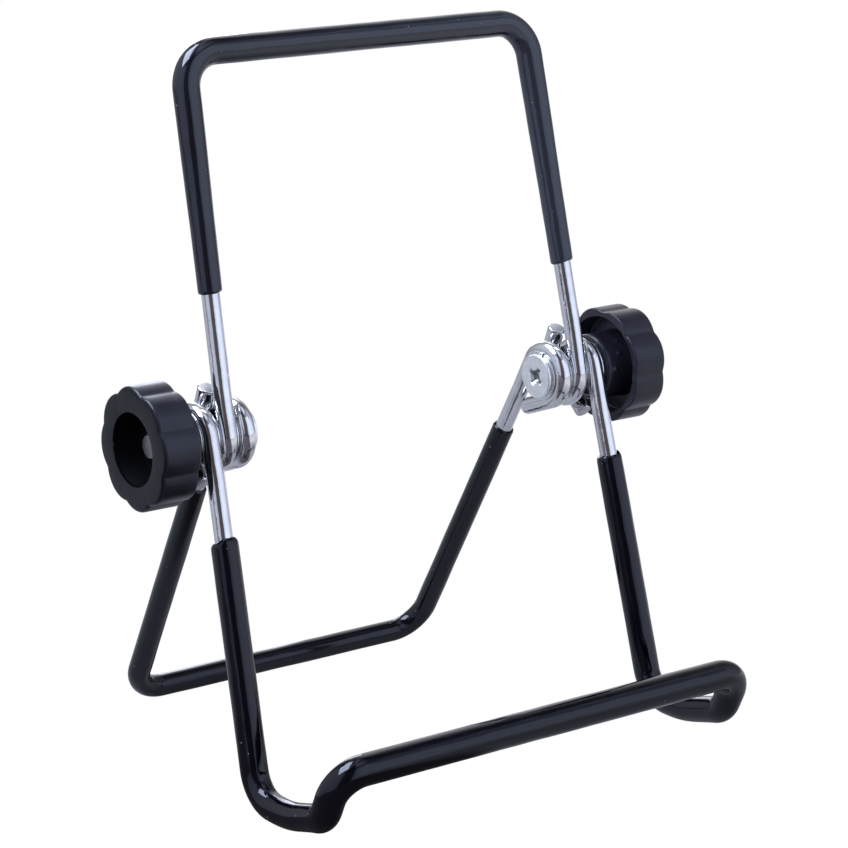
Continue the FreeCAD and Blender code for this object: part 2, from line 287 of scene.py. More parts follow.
def transported(path):
    """Tangent and two normals at every point of a path, turning as little as possible."""
    tangents = []
    for k in range(len(path)):
        before = path[max(k - 1, 0)]
        after = path[min(k + 1, len(path) - 1)]
        tangents.append((after - before).normalized())
    seed = Vector((1, 0, 0)) if abs(tangents[0].x) < 0.9 else Vector((0, 0, 1))
    normal = (seed - tangents[0] * seed.dot(tangents[0])).normalized()
    frames = []
    for tangent in tangents:
        normal = (normal - tangent * normal.dot(tangent)).normalized()
        frames.append((tangent, normal, tangent.cross(normal)))
    return frames


def ring_verts(bm, layer, centre, axes, radius, segments, along, lean=None):
    """One ring of a tube. radius and lean are functions of the angle round the tube."""
    tangent, normal, binormal = axes
    ring = []
    for k in range(segments):
        a = 2 * math.pi * k / segments
        r = radius(a)
        offset = normal * math.cos(a) * r + binormal * math.sin(a) * r
        if lean:
            offset = offset + tangent * lean(a)
        vert = bm.verts.new((centre + offset) * MM + HINGE)
        vert[layer] = Vector((math.cos(a) * r, math.sin(a) * r, along))
        ring.append(vert)
    return ring


def new_tube():
    """Empty mesh whose points also carry their place round and along the piece."""
    bm = bmesh.new()
    return bm, bm.verts.layers.float_vector.new("around")


def bridge(bm, a, b):
    n = len(a)
    for k in range(n):
        bm.faces.new((a[k], a[(k + 1) % n], b[(k + 1) % n], b[k]))


def cap(bm, ring, material=0):
    face = bm.faces.new(ring)
    face.material_index = material


# ---- materials ---------------------------------------------------------------------------
class Nodes:
    """Small helper that builds the nodes of a material or of the world."""

    def __init__(self, owner, shader="Principled BSDF"):
        owner.use_nodes = True
        self.owner = owner
        self.tree = owner.node_tree
        self.shader = self.tree.nodes[shader]

    def add(self, kind, **values):
        node = self.tree.nodes.new(kind)
        for key, value in values.items():
            if hasattr(node, key):
                setattr(node, key, value)
            else:
                node.inputs[key].default_value = value
        return node

    def feed(self, socket, value):
        """Give a socket a number, a colour or another node's output."""
        if isinstance(value, (int, float)):
            socket.default_value = value
        elif isinstance(value, tuple):
            socket.default_value = (*value, 1.0)
        else:
            self.tree.links.new(value, socket)

    def set(self, socket, value):
        self.feed(self.shader.inputs[socket], value)

    def math(self, operation, *values):
        node = self.add("ShaderNodeMath", operation=operation)
        for socket, value in zip(node.inputs, values):
            self.feed(socket, value)
        return node.outputs[0]

    def times(self, a, b):
        return self.math("MULTIPLY", a, b)

    def plus(self, a, b):
        return self.math("ADD", a, b)

    def minus(self, a, b):
        return self.math("SUBTRACT", a, b)

    def larger(self, a, b):
        return self.math("MAXIMUM", a, b)

    def span(self, value, low, high, to_low=0.0, to_high=1.0):
        """Value carried from the range low..high to the range to_low..to_high, and held there."""
        node = self.add("ShaderNodeMapRange")
        limits = {"From Min": low, "From Max": high, "To Min": to_low, "To Max": to_high}
        for socket, limit in limits.items():
            node.inputs[socket].default_value = limit
        self.feed(node.inputs["Value"], value)
        return node.outputs["Result"]

    def mix(self, factor, a, b, blend_type="MIX"):
        """Colour a where factor is 0 and b where it is 1. Sockets 6 and 7 are the colours."""
        node = self.add("ShaderNodeMix", data_type="RGBA", blend_type=blend_type)
        self.feed(node.inputs["Factor"], factor)
        self.feed(node.inputs[6], a)
        self.feed(node.inputs[7], b)
        return node.outputs[2]

    def noise(self, vector, scale, detail, roughness=0.5):
        """Clouds about 1 / scale millimetres wide."""
        node = self.add("ShaderNodeTexNoise", Scale=scale, Detail=detail, Roughness=roughness)
        self.feed(node.inputs["Vector"], vector)
        return node.outputs["Fac"]

    def cells(self, vector, scale):
        """Distance to the nearest of many scattered points, about 1 / scale millimetres apart."""
        node = self.add("ShaderNodeTexVoronoi", Scale=scale)
        self.feed(node.inputs["Vector"], vector)
        return node.outputs["Distance"]

    def bump(self, height, strength, distance, normal=None):
        """Relief; distance is in metres, and normal is the relief that it lies on."""
        node = self.add("ShaderNodeBump", Strength=strength, Distance=distance)
        self.feed(node.inputs["Height"], height)
        if normal is not None:
            self.feed(node.inputs["Normal"], normal)
        return node.outputs["Normal"]

    def split(self, vector):
        node = self.add("ShaderNodeSeparateXYZ")
        self.feed(node.inputs["Vector"], vector)
        return node.outputs

    def length(self, vector):
        node = self.add("ShaderNodeVectorMath", operation="LENGTH")
        self.feed(node.inputs[0], vector)
        return node.outputs["Value"]

    def place(self, scale=(1, 1, 1), shift=(0, 0, 0)):
        """Object coordinates in millimetres."""
        coords = self.add("ShaderNodeTexCoord")
        mapping = self.add("ShaderNodeMapping")
        mapping.inputs["Location"].default_value = shift
        mapping.inputs["Scale"].default_value = [PER_METRE * s for s in scale]
        self.feed(mapping.inputs["Vector"], coords.outputs["Object"])
        return mapping.outputs["Vector"]

    def around(self, scale=(1, 1, 1)):
        """Position round and along a tube, in millimetres."""
        source = self.add("ShaderNodeAttribute", attribute_name="around")
        mapping = self.add("ShaderNodeMapping")
        mapping.inputs["Scale"].default_value = scale
        self.feed(mapping.inputs["Vector"], source.outputs["Vector"])
        return mapping.outputs["Vector"]

    def turned_place(self):
        """On turned parts: distance from the screw's axis, and place along it."""
        return self.length(self.around((1, 1, 0))), self.split(self.around())["Z"]

    def bearing(self, output):
        """Coordinates turned so that -Y points to the camera's side, and the angle from there.

        The angle is in radians, negative to the left in the picture and positive to the right.
        """
        coords = self.add("ShaderNodeTexCoord")
        mapping = self.add("ShaderNodeMapping")
        mapping.inputs["Rotation"].default_value = (0, 0, math.radians(-AZIMUTH))
        self.feed(mapping.inputs["Vector"], coords.outputs[output])
        turned = mapping.outputs["Vector"]
        parts = self.split(turned)
        return turned, self.math("ARCTAN2", parts["X"], self.times(parts["Y"], -1.0))

    def ramp(self, value, stops):
        """Colour read from (place, colour) stops; value runs from 0 at the first to 1 at the last."""
        low, high = stops[0][0], stops[-1][0]
        node = self.add("ShaderNodeValToRGB")
        elements = node.color_ramp.elements
        elements.remove(elements[-1])
        elements[0].position = 0.0
        elements[0].color = (*stops[0][1], 1)
        for place, colour in stops[1:]:
            stop = elements.new((place - low) / (high - low))
            stop.color = (*colour, 1)
        self.feed(node.inputs["Fac"], value)
        return node.outputs["Color"]

    def camera_ray(self):
        """1 where the camera looks at the surface itself, 0 in reflections and for light."""
        return self.add("ShaderNodeLightPath").outputs["Is Camera Ray"]


def shaded(colour, share):
    return tuple(share * c for c in colour)


def new_nodes(name):
    return Nodes(bpy.data.materials.new(name))


COOL_SHINE = (0.84, 0.88, 1.0)


def vinyl_material(name, base, roughness, specular, lit_side_colour=None):
    """Thick dipped vinyl: glossy near-black skin with soft ripples, pits and a little dust.

    The last argument is a paler colour painted on towards the stand's right side: painted light,
    standing in for the brighter light there.
    """
    n = new_nodes(name)
    where = n.place()
    cloud = n.noise(where, 0.10, 4.0)
    tint = n.mix(n.span(cloud, 0.35, 0.65), base, shaded(base, 1.5))
    # painted light: the skin is painted paler towards the right side, standing in for the brighter
    # light there
    if lit_side_colour:
        tint = n.mix(n.span(n.split(where)["X"], -35.0, 56.0), tint, lit_side_colour)
    fleck = n.span(n.cells(where, 0.55), 0.07, 0.115, 1.0, 0.0)
    sparse = n.span(n.noise(where, 0.23, 2.0), 0.58, 0.62)
    dust = n.times(fleck, sparse)
    n.set("Base Color", n.mix(n.times(dust, 0.55), tint, (0.20, 0.20, 0.22)))
    smear = n.noise(where, 0.35, 5.0, 0.6)
    gloss = n.span(smear, 0.3, 0.75, roughness, roughness + 0.05)
    n.set("Roughness", n.plus(gloss, n.times(dust, 0.3)))
    n.set("IOR", 1.5)
    n.set("Specular IOR Level", specular)
    n.set("Specular Tint", COOL_SHINE)
    ripple = n.noise(n.around((1, 1, 0.22)), 0.45, 2.0)
    normal = n.bump(ripple, 0.10, 0.0009)
    grain = n.noise(where, 3.2, 3.0, 0.6)
    normal = n.bump(grain, 0.04, 0.00010, normal)
    hollow = n.span(n.cells(where, 0.9), 0.0, 0.10, 1.0, 0.0)
    pit = n.times(hollow, n.span(n.noise(where, 0.31, 1.0), 0.52, 0.6))
    n.set("Normal", n.bump(n.minus(dust, pit), 0.6, 0.00012, normal))
    return n.owner


def wire_material():
    """Bright plated wire: mirror-like, with faint drawing lines, haze and small dull spots."""
    n = new_nodes("plated_wire")
    lines = n.noise(n.around((1, 1, 0.02)), 3.5, 4.0, 0.65)
    haze = n.noise(n.place(), 0.28, 5.0, 0.6)
    tint = n.mix(n.span(haze, 0.35, 0.7), (0.68, 0.68, 0.70), (0.59, 0.59, 0.62))
    round_spot = n.span(n.cells(n.place(), 0.8), 0.05, 0.12, 1.0, 0.0)
    spot = n.times(round_spot, n.span(n.noise(n.place(), 0.4, 1.0), 0.55, 0.62))
    n.set("Base Color", n.mix(n.times(spot, 0.6), tint, (0.32, 0.29, 0.27)))
    n.set("Metallic", 0.98)
    n.set("Roughness", n.plus(n.span(haze, 0.3, 0.75, 0.04, 0.10), n.times(spot, 0.25)))
    normal = n.bump(lines, 0.10, 0.00006)
    n.set("Normal", n.bump(n.noise(n.place(), 0.35, 2.0), 0.10, 0.0006, normal))
    return n.owner


def cut_face_material():
    """Sheared wire end: dull grey with tear lines."""
    n = new_nodes("sheared_end")
    tear = n.noise(n.place((1, 0.3, 0.3)), 4.0, 5.0, 0.7)
    n.set("Base Color", n.mix(n.span(tear, 0.3, 0.7), (0.62, 0.63, 0.66), (0.34, 0.34, 0.36)))
    n.set("Metallic", 0.85)
    n.set("Roughness", n.span(tear, 0.3, 0.7, 0.32, 0.52))
    n.set("Normal", n.bump(tear, 0.35, 0.0001))
    return n.owner


def zinc_material(name, tint, roughness, swirl):
    """Zinc-plated hardware: satin, cloudy, with turning marks round the axis."""
    n = new_nodes(name)
    where = n.place()
    cloud = n.noise(where, 0.6, 5.0, 0.6)
    plated = n.mix(n.span(cloud, 0.35, 0.7), tint, shaded(tint, 0.86))
    # painted shade: the cross recess and the screw's far end, which sits deep in the knob's recess,
    # are darkened
    across, along = n.turned_place()
    inside_cross = n.span(across, 2.35, 2.60, 1.0, 0.0)
    cross_recess_shade = n.times(inside_cross, n.span(along, HEAD_FACE_X + 0.1, HEAD_FACE_X + 0.8))
    plated = n.mix(cross_recess_shade, plated, shaded(tint, 0.42))
    # painted shade on the screw's far end
    at_end = n.span(along, SCREW_END_X - 0.25, SCREW_END_X - 0.1)
    end = n.times(at_end, n.span(across, 2.2, 2.4, 1.0, 0.0))
    n.set("Base Color", n.mix(end, plated, shaded(tint, 0.28)))
    n.set("Metallic", 1.0)
    n.set("Roughness", n.span(cloud, 0.3, 0.7, roughness, roughness + 0.12))
    rings = n.add("ShaderNodeTexWave", wave_type="RINGS", rings_direction="X", Scale=1.6,
                  Distortion=2.0, Detail=2.0)
    rings.inputs["Detail Scale"].default_value = 1.2
    from_axis = n.place(shift=(0.0, -HINGE.y * PER_METRE, -HINGE.z * PER_METRE))
    n.feed(rings.inputs["Vector"], from_axis)
    normal = n.bump(rings.outputs["Fac"], swirl, 0.00005)
    n.set("Normal", n.bump(n.noise(where, 1.6, 4.0, 0.6), 0.18, 0.00012, normal))
    return n.owner


def knob_material():
    """Moulded black plastic: satin, fine grain, paler scuffs on raised edges."""
    n = new_nodes("moulded_black")
    where = n.place()
    cloud = n.noise(where, 0.12, 4.0)
    satin = n.mix(n.span(cloud, 0.35, 0.65), (0.0070, 0.0067, 0.0112), (0.0098, 0.0094, 0.0152))
    across, along = n.turned_place()
    # painted shade: the end face is darker and shines less, and the recess, wider at its mouth, is
    # darker, shines less and is rougher as well
    face = n.span(along, KNOB_FACE_X - 0.5, KNOB_FACE_X - 0.15)
    wider = n.span(along, HUB_FACE_X + 9.3, HUB_FACE_X + 9.7, 0.0, 0.6)
    inside = n.span(n.minus(across, wider), 7.25, 7.5, 1.0, 0.0)
    recess = n.times(inside, n.span(along, HUB_FACE_X + 6.2, HUB_FACE_X + 6.5))
    # painted shade on the end face, and darker still in the recess
    base = n.mix(face, satin, (0.0015, 0.0015, 0.0024))
    base = n.mix(recess, base, (0.0010, 0.0010, 0.0014))
    geometry = n.add("ShaderNodeNewGeometry")
    edge = n.span(geometry.outputs["Pointiness"], 0.52, 0.60)
    rub = n.span(n.noise(where, 0.9, 5.0, 0.7), 0.45, 0.7)
    wear = n.times(edge, rub)
    scratch = n.span(n.noise(n.place((0.25, 1.3, 0.5)), 2.2, 5.0, 0.75), 0.66, 0.74)
    marks = n.larger(n.times(wear, 0.45), n.times(scratch, 0.16))
    n.set("Base Color", n.mix(marks, base, (0.075, 0.075, 0.085)))
    rough = n.plus(n.span(cloud, 0.3, 0.7, 0.27, 0.34), n.times(marks, 0.35))
    n.set("Roughness", n.plus(rough, n.times(recess, 0.3)))
    n.set("IOR", 1.48)
    specular = n.minus(0.40, n.times(face, 0.18))
    n.set("Specular IOR Level", n.minus(specular, n.times(recess, 0.36)))
    n.set("Specular Tint", COOL_SHINE)
    grain = n.noise(where, 5.0, 4.0, 0.6)
    flow = n.noise(where, 0.25, 2.0)
    normal = n.bump(flow, 0.12, 0.0007)
    n.set("Normal", n.bump(grain, 0.16, 0.00006, normal))
    return n.owner


def brass_material():
    """Turned brass of the knob inserts, cloudy, with fine turning marks."""
    n = new_nodes("turned_brass")
    cloud = n.noise(n.place(), 0.7, 4.0)
    n.set("Base Color", n.mix(n.span(cloud, 0.3, 0.7), (0.60, 0.44, 0.20), (0.45, 0.32, 0.14)))
    n.set("Metallic", 1.0)
    n.set("Roughness", n.span(cloud, 0.3, 0.7, 0.28, 0.42))
    n.set("Normal", n.bump(n.noise(n.place((4, 1, 1)), 1.5, 3.0), 0.2, 0.0001))
    return n.owner


# painted light and shade: the three vinyls are one material, and their different colours and shine
# stand in for brighter light on the back rest and dimmer light on the cradle
# name, colour, roughness, specular level, painted light colour on the right side
VINYL_UPPER = vinyl_material("dipped_vinyl_back_rest", (0.0024, 0.0024, 0.0042), 0.05, 0.62,
                             (0.0145, 0.0155, 0.0220))
VINYL_LOWER = vinyl_material("dipped_vinyl_cradle", (0.0006, 0.0006, 0.0016), 0.05, 0.40)
VINYL_REAR = vinyl_material("dipped_vinyl_rear_leg", (0.0010, 0.0010, 0.0018), 0.08, 0.38)
WIRE = wire_material()
CUT_FACE = cut_face_material()
# name, colour, roughness, depth of the turning marks
ZINC = zinc_material("zinc_screw", (0.90, 0.93, 0.94), 0.30, 0.10)
ZINC_WASHER = zinc_material("zinc_washer", (0.72, 0.74, 0.77), 0.20, 0.25)
KNOB = knob_material()
BRASS = brass_material()


# ---- wires -------------------------------------------------------------------------------
def wire(node, corners, shank_angle, wrap, tail, side, body):
    """The bent wire of one frame, from the left sheared end to the right one."""
    points, radii = corners
    half = eye_path(points[0], shank_angle, wrap, tail, side) + rounded(points, radii)
    path = whole(half)
    axes = transported(path)
    along = distances(path)
    bm, layer = new_tube()
    last = len(path) - 1

    def ring(index, centre, radius):
        return ring_verts(bm, layer, centre, axes[index], lambda a: radius, WIRE_SEGMENTS,
                          along[index])

    def end_rings(index, outward):
        return [ring(index, path[index] - outward * inset, radius) for inset, radius in SHEARED_END]

    left_end = end_rings(0, -axes[0][0])
    right_end = end_rings(last, axes[last][0])
    middle = [ring(k, path[k], WIRE_R) for k in range(2, last - 1)]
    rings = left_end + middle + list(reversed(right_end))
    for a, b in zip(rings, rings[1:]):
        bridge(bm, a, b)
    for end in (rings[0], rings[-1]):
        cap(bm, end, 1)
    new_object(node, "_plated", bm, body, [WIRE, CUT_FACE], 50)


wire("upper_frame_wire", upper_corners(), UPPER_LEAN, UPPER_EYE_WRAP, UPPER_TAIL, -1,
     "upper_frame")
wire("lower_frame_wire", lower_corners(), 180 + LOWER_LEAN, LOWER_EYE_WRAP, LOWER_TAIL, 1,
     "lower_frame")
wire("rear_leg_wire", rear_corners(), 180 - REAR_LEAN, REAR_EYE_WRAP, REAR_TAIL, -1, "rear_leg")


# ---- dipped coatings ---------------------------------------------------------------------
def blended(table, distance):
    """Value read from (distance, value) pairs, blended smoothly between them."""
    if distance <= table[0][0]:
        return table[0][1]
    for (d0, v0), (d1, v1) in zip(table, table[1:]):
        if distance <= d1:
            t = (distance - d0) / (d1 - d0)
            t = t * t * (3 - 2 * t)
            return v0 + (v1 - v0) * t
    return table[-1][1]


def coating(node, corners, body, material, radii, starts, shoulder, ragged, seed):
    """Dipped skin: wavy thickness, rounded ragged ends, and a bore that fits the wire.

    radii holds (distance from the eye, outer radius) pairs. starts are the distances from the eye
    at which the skin begins on the left and on the right. shoulder is the length over which it
    reaches its full thickness, and ragged how far its edge strays.
    """
    points, bends = corners
    path = whole(rounded(points, bends))
    along = distances(path)
    total = along[-1]
    axes = transported(path)
    left, right = starts
    zone = shoulder * COAT_END_ZONE
    bm, layer = new_tube()

    def point_at(s):
        k = max(i for i, d in enumerate(along) if d <= s)
        k = min(k, len(path) - 2)
        t = (s - along[k]) / (along[k + 1] - along[k])
        return path[k].lerp(path[k + 1], t), axes[k]

    def ring(s, radius, lean=None):
        centre, here = point_at(s)
        return ring_verts(bm, layer, centre, here, radius, COAT_SEGMENTS, s, lean)

    def bore_radius(a):
        return WIRE_R

    def edge_wave(a):
        wave = math.sin(a + seed) * 0.55 + 0.25 * math.sin(2 * a + seed * 1.7)
        return (wave + 0.12 * math.sin(5 * a)) * ragged

    def skin_ring(s):
        from_end = min(s - left, total - right - s)
        nominal = blended(radii, min(s, total - s))
        grow = min(1.0, from_end / shoulder)
        rise = math.sqrt(max(0.0, 1 - (1 - grow) ** 2))
        swell = 0.05 * noise.noise(Vector((s * 0.11, seed, 0)))
        fade = math.exp(-(from_end / COAT_EDGE_FADE) ** 2)

        def radius(a):
            spot = Vector((math.cos(a) * 0.8, math.sin(a) * 0.8 + seed, s * 0.16))
            full = nominal + swell + 0.035 * noise.noise(spot)
            return WIRE_R + COAT_FILM + (full - WIRE_R - COAT_FILM) * rise

        return ring(s, radius, lambda a: edge_wave(a) * fade)

    near_end = [zone * (k / COAT_END_RINGS) ** 1.6 for k in range(COAT_END_RINGS)]
    middle = [s for s in along if left + zone < s < total - right - zone]
    stations = [left + s for s in near_end] + middle
    stations += [total - right - s for s in reversed(near_end)]

    outer = [skin_ring(s) for s in stations]
    ends = [ring(s, bore_radius, edge_wave) for s in (stations[0], stations[-1])]
    bore = [ends[0]] + [ring(s, bore_radius) for s in middle] + [ends[1]]
    for chain in (outer, bore):
        for a, b in zip(chain, chain[1:]):
            bridge(bm, a, b)
    bridge(bm, ends[0], outer[0])
    bridge(bm, outer[-1], ends[1])
    new_object(node, "_dipped", bm, body, [material], 60)


coating("upper_frame_coating", upper_corners(), "upper_frame", VINYL_UPPER,
        radii=[(26, 2.6), (72, 2.95), (84, 3.0)],
        starts=(30.0, 25.2), shoulder=0.6, ragged=0.35, seed=1.3)
coating("lower_frame_coating", lower_corners(), "lower_frame", VINYL_LOWER,
        radii=[(21, 2.95), (25, 3.0), (95, 3.0), (104, 3.25), (114, 3.38), (130, 3.38)],
        starts=(21.8, 20.2), shoulder=1.3, ragged=0.9, seed=4.1)
coating("rear_leg_coating", rear_corners(), "rear_leg", VINYL_REAR,
        radii=[(21, 2.55), (30, 2.6), (120, 2.6)],
        starts=(21.2, 21.2), shoulder=0.5, ragged=0.25, seed=7.9)


# ---- turned and moulded parts ------------------------------------------------------------
def rounded_profile(corners, steps):
    """(x, r) outline of a turned part; a corner with a third number is rounded to that radius."""
    out = []
    count = len(corners)
    for index, corner in enumerate(corners):
        here = Vector(corner[:2])
        radius = corner[2] if len(corner) > 2 else 0.0
        if radius <= 0 or index in (0, count - 1):
            out.append(here)
            continue
        before = (Vector(corners[index - 1][:2]) - here).normalized()
        after = (Vector(corners[index + 1][:2]) - here).normalized()
        half = before.angle(after) / 2
        cut = radius / math.tan(half)
        centre = here + (before + after).normalized() * (radius / math.sin(half))
        start = here + before * cut - centre
        end = here + after * cut - centre
        sweep = math.atan2(start.cross(end), start.dot(end))
        for k in range(steps + 1):
            turn = sweep * k / steps
            c, s = math.cos(turn), math.sin(turn)
            out.append(centre + Vector((start.x * c - start.y * s, start.x * s + start.y * c)))
    return out


def axis_vert(bm, layer, x, r, a, mirror):
    """Point at place x along the hinge axis, radius r and angle a round it."""
    place = Vector((x * mirror, r * math.cos(a), r * math.sin(a)))
    vert = bm.verts.new(place * MM + HINGE)
    vert[layer] = Vector((math.cos(a) * r, math.sin(a) * r, x))
    return vert


def turned(node, suffix, outline, body, slot, material, mirror, segments, shape=None, closed=True):
    """Solid of revolution round the hinge axis. shape(x, r, angle) may change a point's x and r."""
    bm, layer = new_tube()
    rings = []
    for x, r in outline:
        ring = []
        for k in range(segments):
            a = 2 * math.pi * k / segments
            px, pr = shape(x, r, a) if shape else (x, r)
            ring.append(axis_vert(bm, layer, px, pr, a, mirror))
        rings.append(ring)
    pairs = list(zip(rings, rings[1:]))
    if closed:
        pairs.append((rings[-1], rings[0]))
    for a, b in pairs:
        bridge(bm, a, b)
    if not closed:
        cap(bm, rings[0])
        cap(bm, rings[-1])
    new_object(node, suffix, bm, body, [material], 35)


def ring_section(start, thickness, outer, bore_edge, first_edge, last_edge):
    """Closed (x, r) section of a washer; the last three values round its edges."""
    middle = start + thickness / 2
    end = start + thickness
    return rounded_profile([
        (middle, WASHER_BORE_R), (start, WASHER_BORE_R, bore_edge), (start, outer, first_edge),
        (end, outer, last_edge), (end, WASHER_BORE_R, bore_edge),
        (middle + 0.01, WASHER_BORE_R)], 3)


def washer(node, start, outer, body, mirror):
    section = ring_section(start, WASHER_T, outer, 0.12, 0.192, 0.12)
    turned(node, "_pressed", section, body, "washer_steel", ZINC_WASHER, mirror, WASHER_SEGMENTS)


def lock_washer(node, start, mirror):
    """Spring washer, squeezed flat: a ring with a narrow gap between its cut ends."""
    section = ring_section(start, LOCK_WASHER_T, LOCK_WASHER_R, 0.1, 0.16, 0.16)
    bm, layer = new_tube()
    rings = []
    for k in range(LOCK_WASHER_STEPS + 1):
        ring = []
        for x, r in section:
            half = math.asin(LOCK_SPLIT / 2 / r)
            turn = (2 * math.pi - 2 * half) * k / LOCK_WASHER_STEPS
            a = math.radians(90 + LOCK_SPLIT_TURN) + half + turn
            ring.append(axis_vert(bm, layer, x, r, a, mirror))
        rings.append(ring)
    for a, b in zip(rings, rings[1:]):
        bridge(bm, a, b)
    cap(bm, rings[0])
    cap(bm, rings[-1])
    new_object(node, "_cut", bm, "lower_frame", [ZINC_WASHER], 35)


def lobed_radius(angle, first_valley):
    """Distance from the knob's axis to its lobed outline."""
    step = 2 * math.pi / LOBES
    reach = LOBE_R + VALLEY_R
    half = LOBE_CENTRE_R * math.sin(step / 2)
    valley_centre = LOBE_CENTRE_R * math.cos(step / 2) + math.sqrt(reach ** 2 - half ** 2)
    off_valley = (angle - math.radians(first_valley) + step / 2) % step - step / 2
    touch = Vector((LOBE_CENTRE_R * math.cos(step / 2), half))
    touch = touch + (Vector((valley_centre, 0)) - touch) * (LOBE_R / reach)
    if abs(off_valley) < math.atan2(touch.y, touch.x):
        return (valley_centre * math.cos(off_valley)
                - math.sqrt(VALLEY_R ** 2 - (valley_centre * math.sin(off_valley)) ** 2))
    off_lobe = step / 2 - abs(off_valley)
    return (LOBE_CENTRE_R * math.cos(off_lobe)
            + math.sqrt(LOBE_R ** 2 - (LOBE_CENTRE_R * math.sin(off_lobe)) ** 2))


def knob(side, mirror):
    """Lobed knob with its hub, groove, insert pocket and the recess in its outer face."""
    hub, face = HUB_FACE_X, KNOB_FACE_X
    skirt = hub + SKIRT_START
    groove_end = hub + GROOVE_END
    recess = face - RECESS_DEPTH
    # close rings on the hub give the raised spots something to lift
    hub_side = [(hub + 1.5 + 0.3 * k, HUB_R) for k in range(24)]
    outline = rounded_profile([
        (hub + 0.6, KNOB_BORE_R), (hub, KNOB_BORE_R, 0.3), (hub, HUB_R, HUB_EDGE_R)] + hub_side + [
        (groove_end, HUB_R, 0.4), (groove_end, SKIRT_INNER_R, 0.4), (skirt, SKIRT_INNER_R, 0.3),
        (skirt, LOBE_TIP_R, 0.5), (skirt + 3, LOBE_TIP_R), (face - 3, LOBE_TIP_R),
        (face, LOBE_TIP_R, 0.85), (face, 10.5), (face, RECESS_MOUTH_R, 0.4),
        (recess, RECESS_FLOOR_R, 0.6), (recess, KNOB_BORE_R, 0.25), (hub + INSERT_END, KNOB_BORE_R),
        (hub + INSERT_END, INSERT_R), (hub + INSERT_START, INSERT_R),
        (hub + INSERT_START, KNOB_BORE_R)], 6)

    def shape(x, r, a):
        """Carries the lobes into the skirt and the end face, and raises the spots on the hub."""
        hollow = LOBE_TIP_R - lobed_radius(a, FIRST_VALLEY[side])
        if r > SKIRT_LOBES_FROM_R:
            r = r - hollow * min(1.0, (r - SKIRT_LOBES_FROM_R) / SKIRT_LOBES_OVER)
        elif x > face - 0.02 and r > FACE_LOBES_FROM_R:
            r = r - hollow * min(1.0, (r - FACE_LOBES_FROM_R) / FACE_LOBES_OVER)
        elif abs(r - HUB_R) < 0.01:
            for nub_x, nub_angle in NUBS:
                turn = (a - math.radians(nub_angle) + math.pi) % (2 * math.pi) - math.pi
                away = math.hypot(x - nub_x, HUB_R * turn)
                r += NUB_HEIGHT * math.exp(-(away / NUB_R) ** 2)
        return x, r

    turned(side + "_knob", "_moulded", outline, side + "_knob", "knob_plastic", KNOB, mirror,
           KNOB_SEGMENTS, shape)


def cross_depth(y, z):
    """Depth of the head's cross recess at a place on its face."""
    turn = math.radians(CROSS_TURN)
    u = y * math.cos(turn) + z * math.sin(turn)
    v = -y * math.sin(turn) + z * math.cos(turn)
    depth = 0.0
    for along, across in ((abs(u), abs(v)), (abs(v), abs(u))):
        wall = (CROSS_HALF_WIDTH - across) / CROSS_WALL
        ramp = (CROSS_REACH - along) / CROSS_RAMP
        depth = max(depth, min(wall, ramp, 1.0))
    core = (CROSS_CORE_R - math.hypot(u, v)) / CROSS_CORE_WALL
    return CROSS_DEPTH * max(0.0, min(1.0, max(depth, core)))


def screw(side, mirror):
    """Screw with a thin flat head, a cross recess and a thread where the knob runs."""
    face, end = HEAD_FACE_X, SCREW_END_X
    under = face + HEAD_T
    thread_start = end - THREAD_LENGTH
    # close rings on the head carry the cross; those along the shank carry the thread
    face_rings = [0.02] + [0.08 * k for k in range(1, 40)] + [3.4, 3.8, 4.2, 4.5]
    outline = [Vector((face, r)) for r in face_rings]
    head_edge = [(face, 4.6), (face, HEAD_R, HEAD_EDGE_R), (under, HEAD_R, 0.12), (under, 3.05)]
    outline += rounded_profile(head_edge, 4)[1:]
    outline += [Vector((under, SCREW_R)), Vector((end - 9.2, SCREW_R))]
    outline += [Vector((end - 9.0 + 0.1 * k, THREAD_R)) for k in range(84)]
    outline += rounded_profile([(end - 0.58, 2.95), (end, 2.4, 0.12), (end, 0.02)], 3)[1:]

    def shape(x, r, a):
        """Sinks the cross into the head and cuts the thread into the shank."""
        if x < face + 0.001 and r < 3.3:
            return x + cross_depth(r * math.cos(a), r * math.sin(a)), r
        if x > thread_start and 2.9 < r:
            phase = (x * mirror - a * mirror / (2 * math.pi)) % THREAD_PITCH
            run_in = min(1.0, (x - end + THREAD_LENGTH) / THREAD_RUN_IN)
            return x, r - THREAD_DEPTH * (1 - abs(2 * phase - 1)) * run_in
        return x, r

    turned(side + "_screw", "_turned", outline, "lower_frame", "screw_steel", ZINC, mirror,
           SCREW_SEGMENTS, shape, closed=False)


for side, mirror in (("right", 1), ("left", -1)):
    lock_washer(side + "_lock_washer", REAR_EYE_X - WIRE_R - LOCK_WASHER_T, mirror)
    washer(side + "_inner_washer", REAR_EYE_X + WIRE_R, EYE_WASHER_R, "lower_frame", mirror)
    washer(side + "_outer_washer", UPPER_EYE_X + WIRE_R, EYE_WASHER_R, "lower_frame", mirror)
    washer(side + "_knob_washer", LOWER_EYE_X + WIRE_R, KNOB_WASHER_R, side + "_knob_travel", mirror)
    knob(side, mirror)
    screw(side, mirror)
    # the insert keeps its CAD mesh and takes the brass material
    insert = frame["nodes"][side + "_knob_insert"]
    insert.data.materials.clear()
    insert.data.materials.append(BRASS)


# ---- floor, light and camera -------------------------------------------------------------
FLOOR_HALF = 3.0            # metres
FLOOR_CLEARNESS = 0.985     # share of the camera's view that passes through the floor
LIGHT_DISTANCE = 1.2
LIGHT_COLOUR = (0.78, 0.84, 1.0)
SENSOR_WIDTH = 36.0
LENS = 127.35849
# the camera's place from the hinge, in millimetres along its own axes
CAMERA_RIGHT = 6.379
CAMERA_DOWN = 4.843
CAMERA_AWAY = 665.828


